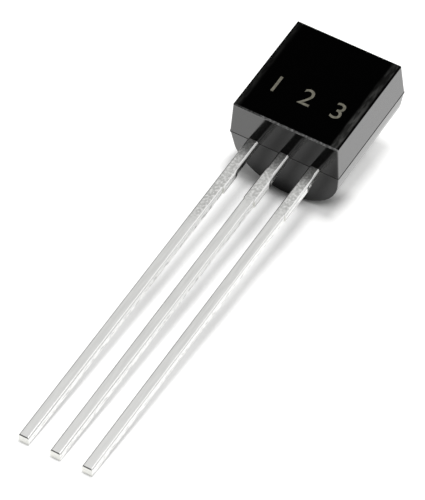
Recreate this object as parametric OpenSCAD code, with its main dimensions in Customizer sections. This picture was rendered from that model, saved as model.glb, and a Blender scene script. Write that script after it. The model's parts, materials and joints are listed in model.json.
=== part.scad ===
// Small-signal transistor in a TO-92 case, at its real size, in millimetres.
// The case is an epoxy moulding round a stamped frame of three leads. The collector lead carries the
// silicon die, and two gold wires join the die to the base and emitter leads.
// Everything is drawn in the moulding's own frame: X runs out along the leads, Y across them, Z out of
// the flat face, with the origin where the leads leave the case, on their upper side.
// at_rest() then lays the part down as it lies on a table, on its round back and its three lead tips.

/* [Case] */
// Width of the case across the parting line
case_w = 4.5; // [4.2:0.05:5.4]
// Height of the case along the leads, at the parting line
case_h = 4.77; // [4.3:0.01:5.7]
// How far the parting plane lies below the upper side of the leads
parting_drop = 0.08; // [0:0.01:0.3]
// Height of the flat face above the parting plane
flat_rise = 1.46; // [1.1:0.02:1.7]
// Draft of the two sides of the front half, in degrees
side_draft = 3.8; // [2:0.1:8]
// Draft of the two ends of the front half, in degrees
front_draft = 4; // [2:0.5:8]
// Draft of the two ends of the back half, in degrees
back_draft = 6; // [2:0.5:8]
// How far the middle of the round back lies below the parting plane
back_drop = 0.24; // [0.1:0.02:0.5]
// How much smaller the radius of the round back is than half the width of the case
back_tuck = 0.05; // [0:0.01:0.1]
// Rounding of the four edges round the flat face
flat_edge_r = 0.08; // [0.03:0.01:0.2]
// Rounding of the upright corners at the lead end
corner_r = 0.06; // [0.03:0.01:0.3]
// Rounding of the upright corners at the far end
far_corner_r = 0.05; // [0.03:0.01:0.3]
// How far the thin flash stands out at the parting line
flash_out = 0.015; // [0.01:0.005:0.08]
// Thickness of the flash
flash_t = 0.03; // [0.02:0.01:0.1]

/* [Marks of the mould] */
// Diameter of the ejector pin's mark in the round back
ejector_d = 1.5; // [1:0.1:1.8]
// Depth of that mark at the middle
ejector_depth = 0.18; // [0.16:0.01:0.38]
// Width of the broken gate on the end away from the leads
gate_w = 0.9; // [0.5:0.1:1.4]
// Height of the broken gate
gate_h = 0.3; // [0.2:0.05:0.5]
// How far the broken gate stands out
gate_out = 0.05; // [0.02:0.01:0.15]

/* [Leads] */
// Distance between the middles of neighbouring leads
lead_pitch = 1.27; // [1.1:0.01:1.6]
// Width of a lead
lead_w = 0.41; // [0.34:0.01:0.55]
// Thickness of the stamped sheet
lead_t = 0.38; // [0.32:0.01:0.51]
// Length of the leads outside the case
lead_l = 15.1; // [12:0.1:18.5]
// Rounding of a lead's long edges on its upper side
lead_top_r = 0.07; // [0.02:0.01:0.12]
// Rounding of a lead's long edges on its lower side
lead_under_r = 0.09; // [0.04:0.01:0.14]
// Rounding of the upper edge of each cut tip
tip_r = 0.06; // [0.02:0.01:0.12]
// How far the larger stubs of the cut dam bar stand out from the leads
dam_out = 0.05; // [0.03:0.01:0.16]
// How far the smaller stubs stand out
dam_small_out = 0.03; // [0.03:0.01:0.12]
// Length of the slope at the end of a stub nearer to the case
dam_slope = 0.2; // [0.1:0.05:0.35]
// Distance from the case to the stub on the collector lead
collector_stub_x = 1.45; // [0.9:0.05:1.6]
// Distance from the case to the stubs on the base lead
base_stub_x = 1.25; // [0.9:0.05:1.6]
// Distance from the case to the stub on the emitter lead
emitter_stub_x = 0.7; // [0.7:0.05:1.6]
// Distance from the case to the far ends of the stubs
dam_end = 2.42; // [2.2:0.02:3]

/* [Frame inside the case] */
// Side of the square paddle that carries the die
paddle_side = 1.9; // [1.5:0.1:2.2]
// Gap between the head of the base lead and the paddle
base_gap = 0.3; // [0.15:0.01:0.5]
// Gap between the head of the emitter lead and the paddle
emitter_gap = 0.17; // [0.1:0.01:0.3]
// Width of the head of the base lead
base_head_w = 0.9; // [0.6:0.05:1.1]
// Length of the head of the base lead
base_head_l = 0.6; // [0.4:0.05:0.7]
// Distance from the lead end of the case to the head of the base lead
base_head_x = 0.95; // [0.7:0.05:1]
// Width of the head of the emitter lead
emitter_head_w = 0.6; // [0.5:0.05:0.7]
// Length of the head of the emitter lead
emitter_head_l = 0.9; // [0.6:0.05:1.2]
// Distance from the lead end of the case to the head of the emitter lead
emitter_head_x = 1.5; // [1.2:0.05:1.8]
// Radius of the notches that lock each lead in the epoxy
lock_r = 0.08; // [0.05:0.01:0.12]
// Distance of the notches from the lead end of the case
lock_x = 0.5; // [0.3:0.05:0.6]

/* [Die and wires] */
// Side of the square silicon die
die_side = 0.5; // [0.3:0.01:0.7]
// Thickness of the die
die_t = 0.18; // [0.1:0.01:0.25]
// Thickness of the solder under the die
solder_t = 0.02; // [0.01:0.005:0.04]
// How far the solder shows round the die
solder_out = 0.03; // [0.01:0.01:0.06]
// Diameter of the bond wires
wire_d = 0.03; // [0.02:0.005:0.05]
// Diameter of the ball that starts each wire on the die
ball_d = 0.08; // [0.06:0.01:0.1]
// Height of the ball
ball_h = 0.02; // [0.01:0.005:0.03]
// Height of each wire's upright stretch, from the die to the start of its bend
wire_rise = 0.22; // [0.15:0.01:0.4]
// Radius of each wire's bend
wire_bend_r = 0.12; // [0.08:0.01:0.2]
// Diameter of the pressed end of each wire on its lead
stitch_d = 0.1; // [0.06:0.01:0.14]
// Thickness of that pressed end
stitch_t = 0.012; // [0.008:0.002:0.02]

/* [Hidden] */
$fn = 48;
over = 0.5; // how far a cutting shape runs past what it cuts
graze = 0.00002; // a rounding runs this far past the faces it blends, so that it crosses them cleanly
back_r = case_w / 2 - back_tuck;
back_depth = back_drop + back_r;
// The sides of the back half lean in by this angle, so that they run on into the round back.
back_lean = acos(back_r / norm([case_w / 2, back_drop])) - atan2(back_drop, case_w / 2);
flat_w = case_w - 2 * flat_rise * tan(side_draft);
front_set_in = flat_rise * tan(front_draft);
back_set_in = back_depth * tan(back_draft);
underside = parting_drop + back_depth; // how far the back reaches down from the leads' upper side
collector_y = -lead_pitch;
emitter_y = lead_pitch;
paddle_at = [
    -base_head_x - base_head_l - base_gap - paddle_side / 2,
    emitter_y - emitter_head_w / 2 - emitter_gap - paddle_side / 2
];
die_top = solder_t + die_t;
pad_step = die_side / 4; // the bond pads lie a quarter of the die off its middle
base_pad = paddle_at + [pad_step, -pad_step];
emitter_pad = paddle_at + [0, pad_step];
base_head_at = [-base_head_x - base_head_l / 2, 0];
emitter_head_at = [-emitter_head_x - emitter_head_l / 2, emitter_y];

// The part lies on the lead-end edge of its round back and on the lower edges of the lead tips.
rest_tilt = atan2(underside - lead_t, lead_l + back_set_in);
rest_lift = underside * cos(rest_tilt) - back_set_in * sin(rest_tilt);
far_edges = [
    (case_h - back_set_in) * cos(rest_tilt) + underside * sin(rest_tilt),
    (case_h + gate_out) * cos(rest_tilt) + (parting_drop + gate_h) * sin(rest_tilt)
];
rest_middle = (lead_l * cos(rest_tilt) - max(far_edges)) / 2;

case_color = [0.05, 0.05, 0.055];
lead_color = [0.80, 0.80, 0.78];
die_color = [0.30, 0.32, 0.36];
solder_color = [0.62, 0.62, 0.60];
wire_color = [0.93, 0.74, 0.30];

function unit(v) = v / norm(v);

// Lays the part down, with its lowest points at height zero and the middle of its box on the origin.
module at_rest() {
    translate([-rest_middle, 0, rest_lift]) rotate([0, rest_tilt, 0]) children();
}

// An outline in Y and Z, drawn out along X.
module along_x(from, to) {
    translate([from, 0, 0]) rotate([90, 0, 90]) linear_extrude(height = to - from) children();
}

// An outline in X and Z, drawn out along Y, the same to both sides.
module along_y(width) {
    rotate([90, 0, 0]) linear_extrude(height = width, center = true) children();
}

// What rounding takes off a corner between the directions to_a and to_b, with radius r. It reaches
// outside the corner, and its two straight sides meet the corner's own at right angles.
module corner_waste(corner, to_a, to_b, r) {
    a = unit(to_a);
    b = unit(to_b);
    half = acos(a * b) / 2;
    inward = unit(a + b);
    centre = corner + inward * (r - graze) / sin(half);
    touch = r / tan(half);
    difference() {
        polygon([
            centre, 2 * (corner + a * touch) - centre,
            corner - inward * r, 2 * (corner + b * touch) - centre
        ]);
        translate(centre) circle(r = r);
    }
}

// Across the front half: upright sides with draft, up to the rounded edges of the flat face.
module front_section() {
    low_left = [-case_w / 2, 0];
    low_right = [case_w / 2, 0];
    top_left = [-flat_w / 2, flat_rise];
    top_right = [flat_w / 2, flat_rise];
    difference() {
        polygon([low_left, top_left, top_right, low_right]);
        corner_waste(top_left, low_left - top_left, top_right - top_left, flat_edge_r);
        corner_waste(top_right, low_right - top_right, top_left - top_right, flat_edge_r);
    }
}

// Along the front half, from the lead end to the far end.
module front_profile() {
    near = [0, 0];
    far = [-case_h, 0];
    near_top = [-front_set_in, flat_rise];
    far_top = [-case_h + front_set_in, flat_rise];
    difference() {
        polygon([near, near_top, far_top, far]);
        corner_waste(near_top, near - near_top, far_top - near_top, flat_edge_r);
        corner_waste(far_top, far - far_top, near_top - far_top, flat_edge_r);
    }
}

// What rounding takes off an upright corner at the lead end, on the emitter's side, with radius r. The
// corner leans with both drafts, so the rounding lies along the line where the end and the side meet.
module upright_corner_waste(end_lean, side_lean, r) {
    end_normal = [cos(end_lean), 0, sin(end_lean)];
    side_normal = [0, cos(side_lean), sin(side_lean)];
    edge = unit(cross(end_normal, side_normal));
    across = cross(edge, end_normal);
    side_flat = [side_normal * end_normal, side_normal * across];
    middle = -([1, 0] + side_flat) * (r - graze) / (1 + side_flat[0]);
    multmatrix([
        [end_normal[0], across[0], edge[0], 0],
        [end_normal[1], across[1], edge[1], case_w / 2],
        [end_normal[2], across[2], edge[2], 0],
        [0, 0, 0, 1]
    ]) translate([0, 0, -over]) linear_extrude(height = flat_rise + 2 * over) difference() {
        polygon([middle, middle + [2 * r, 0], -middle, middle + 2 * r * side_flat]);
        translate(middle) circle(r = r);
    }
}

// The waste of all four upright corners.
module upright_corners_waste(end_lean, side_lean) {
    for (left = [0, 1]) mirror([0, left, 0]) {
        upright_corner_waste(end_lean, side_lean, corner_r);
        translate([-case_h, 0, 0]) mirror([1, 0, 0])
            upright_corner_waste(end_lean, side_lean, far_corner_r);
    }
}

module front_half() {
    difference() {
        intersection() {
            along_x(-case_h, 0) front_section();
            along_y(case_w) front_profile();
        }
        upright_corners_waste(front_draft, side_draft);
    }
}

// Across the back half: sides that lean in, and run on into the round back.
module back_section() {
    touch = [back_r * cos(back_lean), -back_drop - back_r * sin(back_lean)];
    top = [case_w / 2 + over * tan(back_lean), over];
    difference() {
        union() {
            polygon([[-top[0], top[1]], top, touch, [-touch[0], touch[1]]]);
            translate([0, -back_drop]) circle(r = back_r + graze);
        }
        translate([-case_w, 0]) square(2 * case_w);
    }
}

// The upright corners' rounding runs on into the back, and fades out as the back curves in.
module back_half() {
    low = back_depth + over;
    low_set_in = low * tan(back_draft);
    difference() {
        intersection() {
            along_x(-case_h, 0) back_section();
            along_y(case_w + over) polygon([
                [0, 0], [-case_h, 0], [-case_h + low_set_in, -low], [-low_set_in, -low]
            ]);
        }
        mirror([0, 0, 1]) upright_corners_waste(back_draft, back_lean);
        translate([-case_h / 2, 0, -low]) cylinder(d = ejector_d, h = over + ejector_depth);
    }
}

// The thin skin of epoxy that squeezes out between the two halves of the mould.
module flash() {
    near = flash_out;
    far = -case_h - flash_out;
    reach = case_w / 2 + flash_out;
    translate([0, 0, -flash_t]) linear_extrude(height = flash_t) difference() {
        polygon([[near, -reach], [near, reach], [far, reach], [far, -reach]]);
        for (side = [-1, 1]) {
            corner_waste([near, side * reach], [-1, 0], [0, -side], corner_r + flash_out);
            corner_waste([far, side * reach], [1, 0], [0, -side], far_corner_r + flash_out);
        }
    }
}

// The stump left where the feed of epoxy was broken off.
module broken_gate() {
    translate([-case_h - gate_out, -gate_w / 2, -gate_h]) cube([case_h / 4, gate_w, gate_h]);
}

module moulding() {
    difference() {
        translate([0, 0, -parting_drop]) {
            front_half();
            back_half();
            flash();
            broken_gate();
        }
        collector();
        base();
        emitter();
        solder();
        die();
        base_wire();
        emitter_wire();
    }
}

// Across a lead: a stamped strip, a little rounder on its lower side.
module lead_section(width) {
    top_left = [-width / 2, 0];
    top_right = [width / 2, 0];
    low_left = [-width / 2, -lead_t];
    low_right = [width / 2, -lead_t];
    difference() {
        polygon([top_left, top_right, low_right, low_left]);
        corner_waste(top_left, low_left - top_left, top_right - top_left, lead_top_r);
        corner_waste(top_right, low_right - top_right, top_left - top_right, lead_top_r);
        corner_waste(low_left, top_left - low_left, low_right - low_left, lead_under_r);
        corner_waste(low_right, top_right - low_right, low_left - low_right, lead_under_r);
    }
}

// What is left of the dam bar on one side of a lead, between two distances from the case, standing
// out by the reach; side is 1 or -1.
module dam_stub(side, from, to, reach) {
    width = lead_w + 2 * reach;
    start = from - lead_under_r * dam_slope / reach; // where the slope starts, inside the lead
    intersection() {
        along_x(start - over, to) lead_section(width);
        translate([0, 0, -lead_t - over]) linear_extrude(height = lead_t + 2 * over) scale([1, side])
            polygon([
                [start, 0], [start, lead_w / 2 - lead_under_r], [from + dam_slope, width / 2],
                [from + dam_slope, width], [to + over, width], [to + over, 0]
            ]);
    }
}

// The straight strip of a lead, from inside the case to its cut tip. Each of its dam bar stubs is
// given as a side, two distances and a reach.
module strip(y, inside, stubs) {
    translate([0, y, 0]) difference() {
        union() {
            along_x(-inside, lead_l) lead_section(lead_w);
            for (stub = stubs) dam_stub(stub[0], stub[1], stub[2], stub[3]);
        }
        along_y(lead_w + over) corner_waste([lead_l, 0], [-1, 0], [0, -1], tip_r);
        for (side = [-1, 1])
            translate([-lock_x, side * lead_w / 2, -lead_t - over])
                cylinder(r = lock_r, h = lead_t + 2 * over);
    }
}

// A flat outline in X and Y, stamped out of the same sheet as the leads.
module stamped() {
    translate([0, 0, -lead_t]) linear_extrude(height = lead_t) children();
}

// The collector lead turns inwards inside the case and ends in the paddle.
module collector() {
    neck_x = base_head_x;
    paddle_near = paddle_at[0] + paddle_side / 2;
    paddle_left = paddle_at[1] - paddle_side / 2;
    outer = collector_y - lead_w / 2;
    inner = collector_y + lead_w / 2;
    strip(collector_y, neck_x, [[1, collector_stub_x, dam_end, dam_out]]);
    stamped() {
        polygon([
            [-neck_x, outer], [-neck_x, inner], [paddle_near, inner + lead_w],
            [paddle_near - lead_w, inner + lead_w], [paddle_near - lead_w, paddle_left],
            [paddle_near, outer]
        ]);
        translate(paddle_at) square(paddle_side, center = true);
    }
}

// The base lead ends in a short wide head in front of the paddle.
module base() {
    strip(0, base_head_x + base_head_l / 2, [
        [-1, base_stub_x, dam_end, dam_small_out], [1, base_stub_x, dam_end, dam_out]
    ]);
    stamped() translate(base_head_at) square([base_head_l, base_head_w], center = true);
}

// The emitter lead ends in a head beside the paddle.
module emitter() {
    strip(emitter_y, emitter_head_x + emitter_head_l / 2, [
        [1, emitter_stub_x, dam_end, dam_small_out]
    ]);
    stamped() translate(emitter_head_at) square([emitter_head_l, emitter_head_w], center = true);
}

// A square tile on the paddle, from one height to another.
module tile(side, low, high) {
    translate([paddle_at[0], paddle_at[1], (low + high) / 2])
        cube([side, side, high - low], center = true);
}

module solder() {
    tile(die_side + 2 * solder_out, 0, solder_t);
}

module die() {
    tile(die_side, solder_t, die_top);
}

// A gold wire from a pad on the die to the head of a lead: a ball, an upright stretch, a bend and a
// straight run down to the pressed end. The run leaves the bend along its tangent.
module bond_wire(pad, head) {
    reach = norm(head - pad);
    bend_z = die_top + ball_h + wire_rise;
    to_head = [reach - wire_bend_r, -bend_z];
    slope = 90 - atan2(to_head[1], to_head[0]) - acos(wire_bend_r / norm(to_head));
    run = sqrt(to_head * to_head - wire_bend_r * wire_bend_r);
    translate([pad[0], pad[1], 0]) rotate([0, 0, atan2(head[1] - pad[1], head[0] - pad[0])]) {
        translate([0, 0, die_top]) cylinder(d = ball_d, h = ball_h);
        difference() {
            translate([wire_bend_r, 0, bend_z]) rotate([90, slope, 0]) {
                rotate([0, 0, 90]) rotate_extrude(angle = 90 + slope)
                    translate([wire_bend_r, 0]) circle(d = wire_d);
                translate([0, wire_bend_r, 0]) rotate([0, 90, 0])
                    cylinder(d = wire_d, h = run + wire_d);
                rotate([0, 0, 90 + slope]) translate([0, wire_bend_r, 0]) rotate([0, -90, 0])
                    cylinder(d = wire_d, h = wire_rise);
            }
            translate([reach, 0, -wire_d]) cube([4 * wire_d, 4 * wire_d, 2 * wire_d], center = true);
        }
        translate([reach, 0, 0]) cylinder(d = stitch_d, h = stitch_t);
    }
}

module base_wire() {
    bond_wire(base_pad, base_head_at);
}

module emitter_wire() {
    bond_wire(emitter_pad, emitter_head_at);
}

module epoxy_case() {
    color(case_color) at_rest() moulding();
}

module collector_lead() {
    color(lead_color) at_rest() collector();
}

module base_lead() {
    color(lead_color) at_rest() base();
}

module emitter_lead() {
    color(lead_color) at_rest() emitter();
}

module silicon_die() {
    color(die_color) at_rest() die();
}

module die_solder() {
    color(solder_color) at_rest() solder();
}

module base_bond_wire() {
    color(wire_color) at_rest() base_wire();
}

module emitter_bond_wire() {
    color(wire_color) at_rest() emitter_wire();
}

epoxy_case();
collector_lead();
base_lead();
emitter_lead();
silicon_die();
die_solder();
base_bond_wire();
emitter_bond_wire();
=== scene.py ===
import json
import math

import bmesh
import bpy
from mathutils import Matrix, Vector


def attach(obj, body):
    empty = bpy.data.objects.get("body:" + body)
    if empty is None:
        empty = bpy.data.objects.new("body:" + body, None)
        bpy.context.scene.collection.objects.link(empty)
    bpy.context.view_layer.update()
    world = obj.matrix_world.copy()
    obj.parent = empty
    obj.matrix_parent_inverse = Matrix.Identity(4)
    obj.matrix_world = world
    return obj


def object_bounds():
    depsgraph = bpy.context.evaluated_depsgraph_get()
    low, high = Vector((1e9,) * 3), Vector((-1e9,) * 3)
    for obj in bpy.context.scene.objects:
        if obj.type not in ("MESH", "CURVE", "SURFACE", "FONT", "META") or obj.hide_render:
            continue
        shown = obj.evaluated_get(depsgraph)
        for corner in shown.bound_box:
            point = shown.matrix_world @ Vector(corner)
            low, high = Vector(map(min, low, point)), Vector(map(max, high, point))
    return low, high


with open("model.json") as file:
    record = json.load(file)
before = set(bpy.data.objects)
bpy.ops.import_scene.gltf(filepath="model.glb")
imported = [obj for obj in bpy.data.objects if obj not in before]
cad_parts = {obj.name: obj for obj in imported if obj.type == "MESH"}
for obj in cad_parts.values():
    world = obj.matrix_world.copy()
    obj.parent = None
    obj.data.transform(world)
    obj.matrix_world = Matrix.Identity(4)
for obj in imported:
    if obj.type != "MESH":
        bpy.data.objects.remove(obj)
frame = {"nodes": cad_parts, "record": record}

cad_low, cad_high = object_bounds()


# ---------------------------------------------------------------------------------------------------
# The lead frame: three straight strips of copper alloy, stamped out of one sheet and plated with
# bright tin. The sheared sides are burnished above and broken below, with a burr along one upper edge,
# painted pale near the case as a highlight. Near the case the tin is dull and mottled, furthest out on
# the collector lead.

# Places and lengths are in millimetres as the part was moulded: along the leads from the case, across
# them from the middle lead, and up towards the flat face from the leads' upper side. A name that ends
# in _M is in metres. A pair of numbers is the soft edge of a mask, which rises from 0 at the first to
# 1 at the second, even where the second is the lower.
MM_IN_M = 1000
LEAD_LENGTH = 15.1
LEAD_THICKNESS = 0.38
LEAD_PITCH = 1.27

DAM_BAR_END = 2.42
COLLECTOR_DULL_END = 4.0
PAST_COLLECTOR_LEAD = (-0.8, -0.5)
DULL_END_RAGGEDNESS = 0.8
DULL_END_FADE = 0.5
RAGS_PER_MM = 5.0
BLOTCHES_PER_MM = 10.0
BLOTCH_DETAIL = 7.0
BLOTCH_CONTRAST = (0.38, 0.70)
DRAWN_GRAINS_PER_MM = (1.0, 9.0, 9.0)
DRAWN_CONTRAST = (0.35, 0.65)
PAINTED_LIGHT_TOWARDS_TIPS = (5.0, 24.0)

SHEAR_DEPTH = 0.17
SHEAR_RAGGEDNESS = 0.16
SHEAR_FADE = 0.02
STREAKS_PER_MM = (4.0, 8.0, 16.0)
BURNISHED_CONTRAST = (0.36, 0.50)
BROKEN_CONTRAST = (0.38, 0.58)
TRIMMED_FROM = (DAM_BAR_END - 1.0, DAM_BAR_END - 0.9)
TRIMMED_UP_TO = (DAM_BAR_END + 0.02, DAM_BAR_END)

FACES_SIDEWAYS = (0.85, 0.95)
FACES_DOWN = (-0.6, -0.9)
FACES_OUT = (0.8, 0.9)
NEAR_THE_TOP = (-0.075, -0.06)
ROUNDS_OFF_THE_TOP = (0.985, 0.94)
BURR_SIDE = (0.02, 0.2)
BURR_PAINTED_HIGHLIGHT = (4.0, 2.6)
ROLLED_SIDE = (-0.1, -0.3)
PAINTED_DARK_EDGE_FADES = (6.0, 2.0)

DRAWN_ROUGHNESS = 0.28
DULL_ROUGHNESS = 0.30
SIDE_ROUGHNESS = 0.20
BURR_ROUGHNESS = 0.35
RELIEF_HEIGHT_M = 0.00001
RELIEF_STRENGTH = 0.12
RELIEF_OF_DRAWN_TIN = 0.05

DRAWN_TIN_DARK = (0.70, 0.70, 0.69, 1)
DRAWN_TIN_LIGHT = (0.77, 0.77, 0.76, 1)
TIN_PAINTED_LIGHTER_AT_TIPS = (0.82, 0.82, 0.81, 1)
DULL_TIN_DARK = (0.52, 0.52, 0.51, 1)
DULL_TIN_LIGHT = (0.82, 0.82, 0.81, 1)
BURNISHED_DARK = (0.70, 0.70, 0.69, 1)
BURNISHED_LIGHT = (0.88, 0.88, 0.865, 1)
BROKEN_DARK = (0.56, 0.56, 0.55, 1)
BROKEN_LIGHT = (0.96, 0.96, 0.94, 1)
TRIMMED_METAL = (0.60, 0.60, 0.59, 1)
UNDERSIDE_PAINTED_SHADE = (0.10, 0.10, 0.099, 1)
SHEARED_END = (0.80, 0.80, 0.765, 1)
BURR_AND_HIGHLIGHT = (0.96, 0.96, 0.95, 1)
ROLLED_EDGE_PAINTED_DARK = (0.42, 0.42, 0.41, 1)

mounts = {mount["name"]: mount for mount in frame["record"]["mounts"]}
along_leads = Vector(mounts["base_tip"]["axis"])
out_of_flat = Vector(mounts["flat_front"]["axis"])
lead_root = (Vector(mounts["base_tip"]["pos_m"]) - along_leads * LEAD_LENGTH / MM_IN_M
             + out_of_flat * LEAD_THICKNESS / (2 * MM_IN_M))
as_moulded = Matrix((along_leads, out_of_flat.cross(along_leads), out_of_flat)).transposed().to_4x4()
as_moulded.translation = lead_root


def feed(tree, socket, value):
    """Link the socket to another node's output, or set it to a plain value."""
    if isinstance(value, bpy.types.NodeSocket):
        tree.links.new(value, socket)
    else:
        socket.default_value = value


def add_node(tree, kind, sockets=(), **settings):
    """A node of that kind, with its settings made and its inputs fed."""
    node = tree.nodes.new(kind)
    for name, value in settings.items():
        setattr(node, name, value)
    for name, value in dict(sockets).items():
        feed(tree, node.inputs[name], value)
    return node


def calculate(tree, operation, *values):
    node = add_node(tree, "ShaderNodeMath", operation=operation)
    for socket, value in zip(node.inputs, values):
        feed(tree, socket, value)
    return node.outputs[0]


def product(tree, first, *others):
    """All the masks multiplied, so that only the place where every one of them holds is left."""
    for other in others:
        first = calculate(tree, "MULTIPLY", first, other)
    return first


def rise(tree, value, start, end):
    """0 up to start and 1 from end on, with a soft step between them, whichever is the lower."""
    low, high = sorted((start, end))
    return add_node(tree, "ShaderNodeMapRange", {
        "Value": value, "From Min": low, "From Max": high,
        "To Min": float(end == low), "To Max": float(end == high)},
        interpolation_type="SMOOTHSTEP").outputs["Result"]


def blend_colours(tree, share, first, second):
    """The first colour where share is 0 and the second where it is 1."""
    node = add_node(tree, "ShaderNodeMix", data_type="RGBA")
    for socket, value in zip((node.inputs[0], node.inputs[6], node.inputs[7]), (share, first, second)):
        feed(tree, socket, value)
    return node.outputs[2]


def blend_values(tree, share, first, second):
    """The first value where share is 0 and the second where it is 1."""
    node = add_node(tree, "ShaderNodeMix")
    for socket, value in zip((node.inputs[0], node.inputs[2], node.inputs[3]), (share, first, second)):
        feed(tree, socket, value)
    return node.outputs[0]


def speckle(tree, vector, scale, detail=3.0):
    return add_node(tree, "ShaderNodeTexNoise",
                    {"Vector": vector, "Scale": scale, "Detail": detail}).outputs["Fac"]


def streaks(tree, vector, grains_per_mm):
    """Speckle whose grains are drawn out, with so many to the millimetre along, across and up."""
    drawn_out = add_node(tree, "ShaderNodeMapping", {"Vector": vector, "Scale": grains_per_mm})
    return speckle(tree, drawn_out.outputs[0], 1.0, 4.0)


def moulding_place_group():
    """Where a point is, in millimetres as the part was moulded: along the leads, across them and up
    out of the flat face, from the root of the middle lead. And which of those ways it faces."""
    group = bpy.data.node_groups.new("place_in_moulding", "ShaderNodeTree")
    group.interface.new_socket("Place", in_out="OUTPUT", socket_type="NodeSocketVector")
    for name in ("Along", "Across", "Up", "Faces along", "Faces across", "Faces up"):
        group.interface.new_socket(name, in_out="OUTPUT", socket_type="NodeSocketFloat")
    back = as_moulded.inverted()
    texture = group.nodes.new("ShaderNodeTexCoord")
    mapping = add_node(group, "ShaderNodeMapping", {
        "Vector": texture.outputs["Object"], "Location": back.translation * MM_IN_M,
        "Rotation": back.to_euler(), "Scale": (MM_IN_M, MM_IN_M, MM_IN_M)})
    parts = add_node(group, "ShaderNodeSeparateXYZ", {"Vector": mapping.outputs[0]})
    turned = add_node(group, "ShaderNodeMapping", {
        "Vector": texture.outputs["Normal"], "Rotation": back.to_euler()}, vector_type="VECTOR")
    facing = add_node(group, "ShaderNodeSeparateXYZ", {"Vector": turned.outputs[0]})
    end = group.nodes.new("NodeGroupOutput")
    group.links.new(mapping.outputs[0], end.inputs["Place"])
    for name, place, face in zip(("along", "across", "up"), parts.outputs, facing.outputs):
        group.links.new(place, end.inputs[name.capitalize()])
        group.links.new(face, end.inputs["Faces " + name])
    return group


place_in_moulding = moulding_place_group()


def new_material(name):
    """A material with its shader, and where its points are in the moulding."""
    material = bpy.data.materials.new(name)
    material.use_nodes = True
    tree = material.node_tree
    shader = tree.nodes["Principled BSDF"]
    place = add_node(tree, "ShaderNodeGroup", node_tree=place_in_moulding)
    return material, tree, shader, place.outputs


def put_on(material, *nodes):
    for name in nodes:
        for slot in frame["nodes"][name].material_slots:
            slot.material = material


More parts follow.
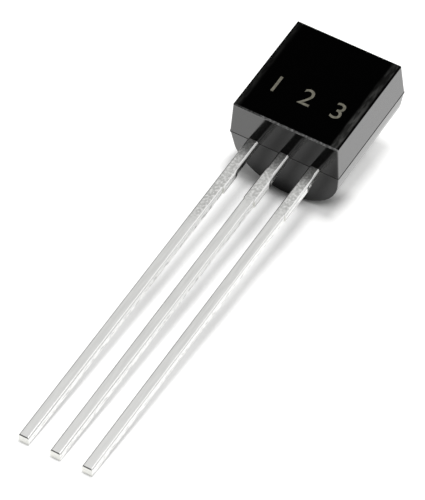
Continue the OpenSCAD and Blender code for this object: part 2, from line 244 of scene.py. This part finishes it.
def tinned_lead():
    material, tree, shader, at = new_material("tinned_lead")

    # The tin on the upper faces: drawn bright, and dull and mottled near the case, with painted light that
    # makes it lighter towards the tips.
    ragged = calculate(tree, "MULTIPLY_ADD", speckle(tree, at["Place"], RAGS_PER_MM),
                       DULL_END_RAGGEDNESS, -DULL_END_RAGGEDNESS / 2)
    past_collector = rise(tree, at["Across"], *PAST_COLLECTOR_LEAD)
    dull_end = blend_values(tree, past_collector, COLLECTOR_DULL_END, DAM_BAR_END)
    beyond = calculate(tree, "SUBTRACT", calculate(tree, "ADD", at["Along"], ragged), dull_end)
    dull = rise(tree, beyond, DULL_END_FADE, -DULL_END_FADE)
    drawn = rise(tree, streaks(tree, at["Place"], DRAWN_GRAINS_PER_MM), *DRAWN_CONTRAST)
    bright_tin = blend_colours(tree, drawn, DRAWN_TIN_DARK, DRAWN_TIN_LIGHT)
    bright_tin = blend_colours(tree, rise(tree, at["Along"], *PAINTED_LIGHT_TOWARDS_TIPS), bright_tin, TIN_PAINTED_LIGHTER_AT_TIPS)
    blotch = rise(tree, speckle(tree, at["Place"], BLOTCHES_PER_MM, BLOTCH_DETAIL), *BLOTCH_CONTRAST)
    dull_tin = blend_colours(tree, blotch, DULL_TIN_DARK, DULL_TIN_LIGHT)
    colour = blend_colours(tree, dull, bright_tin, dull_tin)

    # The sides: burnished above and broken below, and plain where the dam bar was trimmed away.
    streak = streaks(tree, at["Place"], STREAKS_PER_MM)
    side = rise(tree, calculate(tree, "ABSOLUTE", at["Faces across"]), *FACES_SIDEWAYS)
    jagged = calculate(tree, "MULTIPLY_ADD", streak, SHEAR_RAGGEDNESS, -SHEAR_RAGGEDNESS / 2)
    height = calculate(tree, "ADD", at["Up"], jagged)
    broken = rise(tree, height, -SHEAR_DEPTH, -SHEAR_DEPTH - SHEAR_FADE)
    torn = blend_colours(tree, rise(tree, streak, *BROKEN_CONTRAST), BROKEN_DARK, BROKEN_LIGHT)
    trimmed = product(tree, rise(tree, at["Along"], *TRIMMED_FROM), rise(tree, at["Along"], *TRIMMED_UP_TO))
    torn = blend_colours(tree, trimmed, torn, TRIMMED_METAL)
    burnished = rise(tree, streak, *BURNISHED_CONTRAST)
    sheared = blend_colours(tree, burnished, BURNISHED_DARK, BURNISHED_LIGHT)
    sheared = blend_colours(tree, broken, sheared, torn)
    colour = blend_colours(tree, side, colour, sheared)

    # The underside, the sheared ends, and the upper edges: a burr on one, and the other rolled over.
    # The underside is painted dark, as painted shade.
    colour = blend_colours(tree, rise(tree, at["Faces up"], *FACES_DOWN), colour, UNDERSIDE_PAINTED_SHADE)
    colour = blend_colours(tree, rise(tree, at["Faces along"], *FACES_OUT), colour, SHEARED_END)
    rounding = product(tree, rise(tree, at["Up"], *NEAR_THE_TOP),
                       rise(tree, at["Faces up"], *ROUNDS_OFF_THE_TOP))
    # Near the case the burr is painted pale, as a painted highlight.
    burr = product(tree, rounding, rise(tree, at["Faces across"], *BURR_SIDE))
    colour = blend_colours(tree, burr, colour, BURR_AND_HIGHLIGHT)
    # The rolled-over edge is painted dark, a painted reflection of shade, which fades out along the lead.
    painted_dark_edge = product(tree, rounding, rise(tree, at["Faces across"], *ROLLED_SIDE),
                     rise(tree, at["Along"], *PAINTED_DARK_EDGE_FADES))
    colour = blend_colours(tree, painted_dark_edge, colour, ROLLED_EDGE_PAINTED_DARK)
    tree.links.new(colour, shader.inputs["Base Color"])

    # All of it is bare metal, except the burr near the case, which is pale and not metallic: a painted
    # highlight.
    painted_highlight_burr = product(tree, burr, rise(tree, at["Along"], *BURR_PAINTED_HIGHLIGHT))
    tree.links.new(blend_values(tree, painted_highlight_burr, 1.0, 0.0), shader.inputs["Metallic"])
    roughness = blend_values(tree, dull, DRAWN_ROUGHNESS, DULL_ROUGHNESS)
    roughness = blend_values(tree, side, roughness, SIDE_ROUGHNESS)
    roughness = blend_values(tree, burr, roughness, BURR_ROUGHNESS)
    tree.links.new(roughness, shader.inputs["Roughness"])
    relief = product(tree, blotch, calculate(tree, "ADD", dull, RELIEF_OF_DRAWN_TIN))
    bump = add_node(tree, "ShaderNodeBump", {
        "Height": relief, "Distance": RELIEF_HEIGHT_M, "Strength": RELIEF_STRENGTH})
    tree.links.new(bump.outputs[0], shader.inputs["Normal"])
    return material


put_on(tinned_lead(), "collector_lead", "base_lead", "emitter_lead")


# ---------------------------------------------------------------------------------------------------
# The die: a sawn square of silicon with a polished grey top, fixed to the collector's paddle with a
# thin layer of soft solder. Both are sealed in the case.

MOTTLE_CONTRAST = (0.3, 0.7)
SILICON_DARK = (0.09, 0.10, 0.12, 1)
SILICON_LIGHT = (0.12, 0.13, 0.155, 1)
SOLDER_DARK = (0.52, 0.52, 0.50, 1)
SOLDER_LIGHT = (0.70, 0.70, 0.68, 1)


def sealed_piece(name, darker, lighter, grains_per_mm, roughness, metallic):
    material, tree, shader, at = new_material(name)
    mottle = rise(tree, speckle(tree, at["Place"], grains_per_mm), *MOTTLE_CONTRAST)
    tree.links.new(blend_colours(tree, mottle, darker, lighter), shader.inputs["Base Color"])
    shader.inputs["Roughness"].default_value = roughness
    shader.inputs["Metallic"].default_value = metallic
    return material


silicon = sealed_piece("silicon", SILICON_DARK, SILICON_LIGHT,
                       grains_per_mm=12.0, roughness=0.15, metallic=0.6)
put_on(silicon, "silicon_die")

solder = sealed_piece("solder", SOLDER_DARK, SOLDER_LIGHT,
                      grains_per_mm=14.0, roughness=0.4, metallic=1.0)
put_on(solder, "die_solder")


# ---------------------------------------------------------------------------------------------------
# The bond wires: two fine gold wires from the die to the base and emitter leads, each started with a
# melted ball and pressed flat at its other end. They too are sealed in the case.

GOLD_DARK = (0.88, 0.64, 0.26, 1)
GOLD_LIGHT = (0.97, 0.75, 0.34, 1)

gold = sealed_piece("gold", GOLD_DARK, GOLD_LIGHT, grains_per_mm=30.0, roughness=0.2, metallic=1.0)
put_on(gold, "base_bond_wire", "emitter_bond_wire")


# ---------------------------------------------------------------------------------------------------
# The case: black filled epoxy, moulded round the lead frame. The flat face is dead black, with satin
# strips where parts rub in handling, and its edge over the leads is chipped bright, partly a painted
# highlight. The mould was polished, but on the lead end the coat is weaker, a painted dark reflection,
# most of all from the collector lead to the emitter's side.

FLAT_RISE = 1.38
FLAT_NEAR_EDGE = -0.102
UP_AT_THE_FLAT = (FLAT_RISE - 0.08, FLAT_RISE - 0.06)
CASE_FACES_UP = (0.2, 0.5)
CASE_FACES_SIDEWAYS = (0.6, 0.8)
CASE_FACES_LEADS = (0.6, 0.8)
MIDDLE = (-0.1, 0.1)

COLLECTOR_STRIP = (1.84, 2.06)
COLLECTOR_STRIP_SHARE = 0.42
EMITTER_STRIP = (1.78, 1.92)
STRIPS_END = (2.12, 2.06)
WORN_GRAINS_PER_MM = (2.5, 9.0, 9.0)
WORN_CONTRAST = (0.35, 0.70)
RUBBED_MORE = (-2.6, -1.2)

CHIPPED_ALONG = (FLAT_NEAR_EDGE - 0.055, FLAT_NEAR_EDGE - 0.02)
CHIPPED_UP = (FLAT_RISE - 0.10, FLAT_RISE - 0.06)
CHIPS_PER_MM = 9.0
CHIP_DETAIL = 4.0
CHIP_CONTRAST = (0.35, 0.70)
LEAST_CHIPPED = 0.3
PAST_COLLECTOR_CORNER = (-1.2, -0.8)
COLLECTOR_CORNER_SHARE = 0.35
FLASH_ALONG = (-0.05, -0.02)
FLASH_FROM = (-0.13, -0.12)
FLASH_UP_TO = (-0.06, -0.07)

END_REFLECTION_EDGE_FADES = (-1.50, -1.05)
END_REFLECTION_EDGE_LEAN = 0.45

BLACK_EPOXY = (0.002, 0.002, 0.002, 1)
SIDE_EPOXY_PAINTED_SHEEN = (0.035, 0.035, 0.037, 1)
FLAT_EPOXY = (0.0004, 0.0004, 0.0004, 1)
SATIN_DARK = (0.008, 0.008, 0.0078, 1)
SATIN_LIGHT = (0.036, 0.036, 0.035, 1)
RUBBED_DARK = (0.018, 0.018, 0.0175, 1)
RUBBED_LIGHT = (0.062, 0.062, 0.060, 1)
CHIPS_AND_PAINTED_HIGHLIGHT = (0.32, 0.32, 0.32, 1)
FLASH_PAINTED_LIGHTER = (0.03, 0.03, 0.03, 1)

FLAT_SHEEN = 0.003
SIDE_SHEEN = 1.0
END_SHEEN_BRIGHT_REFLECTION = 0.83
END_SHEEN_PAINTED_DARK_REFLECTION = 0.31


def epoxy():
    material, tree, shader, at = new_material("epoxy")
    on_flat = product(tree, rise(tree, at["Up"], *UP_AT_THE_FLAT),
                      rise(tree, at["Faces up"], *CASE_FACES_UP))
    # The sides are painted greyer than the end, a painted sheen on top of their coat.
    on_side = rise(tree, calculate(tree, "ABSOLUTE", at["Faces across"]), *CASE_FACES_SIDEWAYS)
    colour = blend_colours(tree, on_side, BLACK_EPOXY, SIDE_EPOXY_PAINTED_SHEEN)
    colour = blend_colours(tree, on_flat, colour, FLAT_EPOXY)

    # The satin strips along the flat face, fainter on the collector's side and rubbed near the leads.
    from_middle = calculate(tree, "ABSOLUTE", at["Across"])
    collector_side = product(tree, rise(tree, from_middle, *COLLECTOR_STRIP), COLLECTOR_STRIP_SHARE)
    emitter_side = rise(tree, from_middle, *EMITTER_STRIP)
    strips = blend_values(tree, rise(tree, at["Across"], *MIDDLE), collector_side, emitter_side)
    strips = product(tree, strips, rise(tree, from_middle, *STRIPS_END), on_flat)
    worn = rise(tree, streaks(tree, at["Place"], WORN_GRAINS_PER_MM), *WORN_CONTRAST)
    satin = blend_colours(tree, worn, SATIN_DARK, SATIN_LIGHT)
    rubbed = blend_colours(tree, worn, RUBBED_DARK, RUBBED_LIGHT)
    satin = blend_colours(tree, rise(tree, at["Along"], *RUBBED_MORE), satin, rubbed)
    colour = blend_colours(tree, strips, colour, satin)

    # The chips along the edge over the leads, fewer at the collector's corner. Their grey is partly a
    # painted highlight along that edge.
    near_edge = product(tree, rise(tree, at["Along"], *CHIPPED_ALONG), rise(tree, at["Up"], *CHIPPED_UP))
    chips_and_highlight = rise(tree, speckle(tree, at["Place"], CHIPS_PER_MM, CHIP_DETAIL), *CHIP_CONTRAST)
    chips_and_highlight = calculate(tree, "MULTIPLY_ADD", chips_and_highlight, 1 - LEAST_CHIPPED, LEAST_CHIPPED)
    past_corner = rise(tree, at["Across"], *PAST_COLLECTOR_CORNER)
    chips_and_highlight = product(tree, chips_and_highlight, blend_values(tree, past_corner, COLLECTOR_CORNER_SHARE, 1.0))
    colour = blend_colours(tree, product(tree, near_edge, chips_and_highlight), colour, CHIPS_AND_PAINTED_HIGHLIGHT)

    # The thread of flash at the parting line, painted lighter as painted light, to soften the dark line it
    # shows.
    at_parting = product(tree, rise(tree, at["Up"], *FLASH_FROM), rise(tree, at["Up"], *FLASH_UP_TO))
    flash = product(tree, rise(tree, at["Along"], *FLASH_ALONG), at_parting)
    colour = blend_colours(tree, flash, colour, FLASH_PAINTED_LIGHTER)
    tree.links.new(colour, shader.inputs["Base Color"])

    # The polish that the mould left. On the lead end the coat drops, as a painted dark reflection, along a
    # line that leans outwards below like the collector lead's reflection.
    reflection_edge = calculate(tree, "MULTIPLY_ADD", at["Up"], -END_REFLECTION_EDGE_LEAN, at["Across"])
    painted_dark_reflection = rise(tree, reflection_edge, *END_REFLECTION_EDGE_FADES)
    end_reflection_sheen = blend_values(tree, painted_dark_reflection, END_SHEEN_BRIGHT_REFLECTION, END_SHEEN_PAINTED_DARK_REFLECTION)
    sheen = blend_values(tree, rise(tree, at["Faces along"], *CASE_FACES_LEADS), SIDE_SHEEN, end_reflection_sheen)
    sheen = blend_values(tree, on_flat, sheen, FLAT_SHEEN)
    tree.links.new(sheen, shader.inputs["Coat Weight"])
    shader.inputs["Coat IOR"].default_value = 2.2
    shader.inputs["Coat Roughness"].default_value = 0.10
    shader.inputs["Specular IOR Level"].default_value = 0.0
    shader.inputs["Roughness"].default_value = 0.6
    return material


put_on(epoxy(), "epoxy_case")


# ---------------------------------------------------------------------------------------------------
# The pin numbers: a laser marks them on the flat face, one over each lead. The beam leaves a thin
# grey-brown crust a few thousandths of a millimetre high.

NUMBER_HEIGHT = 0.76
NUMBER_FOOT = -1.3
CRUST_HEIGHT = 0.004
CRUST_GRAINS_PER_MM = 9.0
CRUST_DARK = (0.13, 0.125, 0.10, 1)
CRUST_LIGHT = (0.21, 0.20, 0.165, 1)

# A number is drawn at the font's own size, with these, and then brought to its size and its place.
FONT_SIZE = 1.0
FONT_HALF_DEPTH = 0.01
FONT_MERGE_WITHIN = 0.0001


def laser_crust():
    material, tree, shader, at = new_material("laser_mark")
    mottle = rise(tree, speckle(tree, at["Place"], CRUST_GRAINS_PER_MM), *MOTTLE_CONTRAST)
    tree.links.new(blend_colours(tree, mottle, CRUST_DARK, CRUST_LIGHT), shader.inputs["Base Color"])
    shader.inputs["Roughness"].default_value = 0.9
    shader.inputs["Specular IOR Level"].default_value = 0.0
    return material


laser_mark = laser_crust()


def pin_number(text, across):
    curve = bpy.data.curves.new("pin_number_" + text, "FONT")
    curve.body = text
    curve.align_x = "CENTER"
    curve.size = FONT_SIZE
    curve.extrude = FONT_HALF_DEPTH
    drawn = bpy.data.objects.new("drawn_number", curve)
    bpy.context.scene.collection.objects.link(drawn)
    bpy.context.view_layer.update()
    mesh = bpy.data.meshes.new_from_object(drawn.evaluated_get(bpy.context.evaluated_depsgraph_get()))
    bpy.data.objects.remove(drawn)
    mesh.name = "pin_number_" + text
    number = bmesh.new()
    number.from_mesh(mesh)
    bmesh.ops.remove_doubles(number, verts=number.verts, dist=FONT_MERGE_WITHIN)
    foot = min(v.co.y for v in number.verts)
    head = max(v.co.y for v in number.verts)
    size = NUMBER_HEIGHT / (head - foot)
    bmesh.ops.translate(number, verts=number.verts, vec=(0, -foot, FONT_HALF_DEPTH))
    depth = CRUST_HEIGHT / (2 * FONT_HALF_DEPTH)
    bmesh.ops.scale(number, verts=number.verts, vec=(size, size, depth))
    bmesh.ops.rotate(number, verts=number.verts, matrix=Matrix.Rotation(math.radians(90), 3, "Z"))
    bmesh.ops.translate(number, verts=number.verts, vec=(NUMBER_FOOT, across, FLAT_RISE))
    bmesh.ops.scale(number, verts=number.verts, vec=(1 / MM_IN_M, 1 / MM_IN_M, 1 / MM_IN_M))
    bmesh.ops.transform(number, verts=number.verts, matrix=as_moulded)
    number.to_mesh(mesh)
    number.free()
    piece = bpy.data.objects.new("pin_number_" + text, mesh)
    bpy.context.scene.collection.objects.link(piece)
    mesh.materials.clear()
    mesh.materials.append(laser_mark)
    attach(piece, "root")


for text, across in (("1", -LEAD_PITCH), ("2", 0.0), ("3", LEAD_PITCH)):
    pin_number(text, across)


# ---------------------------------------------------------------------------------------------------
# The table: a large smooth white sheet, with a little shine. Seen directly or in the metal it glows as
# well. The glow fades where the part closes in on the sheet, which deepens the shadow there, except out
# along the leads and beside the case on the emitter's side.

TABLE_HALF_SIDE_M = 3.0
TABLE_GAP_M = 0.00001
WHITE_SHEET = (0.76, 0.76, 0.757, 1)
WHITE_GLOW = (1, 1, 0.995, 1)
GLOW = 0.48
CLOSE_TO_PART_M = 0.0015
AWAY_FROM_SHADOWS = (1.0, 1.0, 1.0)
OPEN_ENOUGH = (0.74, 0.94)
OUT_ALONG_LEADS = (2.0, 9.0)
EMITTER_SIDE = (0.6, 1.6)
BESIDE_CASE = (-0.6, -1.8)


def white_table():
    mesh = bpy.data.meshes.new("white_table")
    sheet = bmesh.new()
    bmesh.ops.create_grid(sheet, x_segments=1, y_segments=1, size=TABLE_HALF_SIDE_M)
    sheet.to_mesh(mesh)
    sheet.free()
    table = bpy.data.objects.new("white_table", mesh)
    bpy.context.scene.collection.objects.link(table)
    table.location.z = cad_low.z - TABLE_GAP_M
    material, tree, shader, at = new_material("white_table")
    shader.inputs["Base Color"].default_value = WHITE_SHEET
    shader.inputs["Roughness"].default_value = 0.12
    shader.inputs["Specular IOR Level"].default_value = 0.5
    shader.inputs["Emission Color"].default_value = WHITE_GLOW

    # How open the sheet is, looking up and to the side that the shadows don't fall on.
    x, y, z = AWAY_FROM_SHADOWS
    open_side = add_node(tree, "ShaderNodeCombineXYZ", {"X": x, "Y": y, "Z": z}).outputs[0]
    openness = add_node(tree, "ShaderNodeAmbientOcclusion", {
        "Distance": CLOSE_TO_PART_M, "Normal": open_side}).outputs["AO"]
    clear = calculate(tree, "MAXIMUM", rise(tree, openness, *OPEN_ENOUGH),
                      rise(tree, at["Along"], *OUT_ALONG_LEADS))
    beside = product(tree, rise(tree, at["Across"], *EMITTER_SIDE), rise(tree, at["Along"], *BESIDE_CASE))
    clear = calculate(tree, "MAXIMUM", clear, beside)
    rays = tree.nodes.new("ShaderNodeLightPath").outputs
    mirrored = calculate(tree, "MAXIMUM", rays["Is Glossy Ray"], rays["Is Transmission Ray"])
    seen = calculate(tree, "MAXIMUM", rays["Is Camera Ray"], mirrored)
    tree.links.new(product(tree, seen, clear, GLOW), shader.inputs["Emission Strength"])
    mesh.materials.append(material)


white_table()


# ---------------------------------------------------------------------------------------------------
# The light: a round soft box nearly overhead, in a plain room. The room is darker behind the camera,
# and beyond the case it has a pale panel high up and a bright window to the emitter's side.

SOFT_BOX_WIDTH_M = 0.075
SOFT_BOX_AT_M = (0.02, 0.035, 0.30)
SOFT_BOX_WATTS = 0.57
ROOM = (0.14, 0.14, 0.139, 1)
BEHIND_CAMERA = (0.04, 0.04, 0.04, 1)
PANEL = (0.80, 0.80, 0.795, 1)
WINDOW = (0.95, 0.95, 0.94, 1)

box_light = bpy.data.lights.new("soft_box", "AREA")
box_light.shape = "DISK"
box_light.size = SOFT_BOX_WIDTH_M
box_light.energy = SOFT_BOX_WATTS
soft_box = bpy.data.objects.new("soft_box", box_light)
bpy.context.scene.collection.objects.link(soft_box)
soft_box.location = SOFT_BOX_AT_M
soft_box.rotation_euler = soft_box.location.to_track_quat("Z", "Y").to_euler()

room = bpy.data.worlds.new("room")
bpy.context.scene.world = room
room.use_nodes = True
room_tree = room.node_tree
background = room_tree.nodes["Background"]
direction = room_tree.nodes.new("ShaderNodeTexCoord").outputs["Generated"]


def towards(way):
    """How nearly a look into the room goes that way."""
    node = add_node(room_tree, "ShaderNodeVectorMath", operation="DOT_PRODUCT")
    room_tree.links.new(direction, node.inputs[0])
    node.inputs[1].default_value = Vector(way).normalized()
    return node.outputs["Value"]


# The colour of each part of the room, the way it lies, and its soft edge.
tone = ROOM
for colour, way, edge in (
        (BEHIND_CAMERA, (0.85, 0.35, 0.35), (0.1, 0.7)),
        (PANEL, (-0.41, -0.33, 0.85), (0.75, 0.95)),
        (WINDOW, (-0.62, 0.55, 0.56), (0.80, 0.95))):
    tone = blend_colours(room_tree, rise(room_tree, towards(way), *edge), tone, colour)
room_tree.links.new(tone, background.inputs["Color"])
background.inputs["Strength"].default_value = 1.0


# ---------------------------------------------------------------------------------------------------
# The camera: a long lens, looking down on the part from beyond its leads and a little turned about
# its own line of sight.

CAMERA_AT_M = Vector((0.0844245, 0.0451644, 0.0974591))
LOOKS_AT_M = Vector((-0.0001899, 0.0000257, 0.0016556))
CAMERA_ROLL_DEGREES = 4.325

lens = bpy.data.cameras.new("camera")
lens.lens = 278.83
lens.sensor_width = 36.0
lens.clip_start = 0.001
lens.clip_end = 20.0
camera = bpy.data.objects.new("camera", lens)
bpy.context.scene.collection.objects.link(camera)
camera.location = CAMERA_AT_M
camera.rotation_euler = ((LOOKS_AT_M - CAMERA_AT_M).to_track_quat("-Z", "Y").to_matrix()
                         @ Matrix.Rotation(math.radians(CAMERA_ROLL_DEGREES), 3, "Z")).to_euler()
bpy.context.scene.camera = camera

bpy.context.scene.view_settings.view_transform = "Standard"
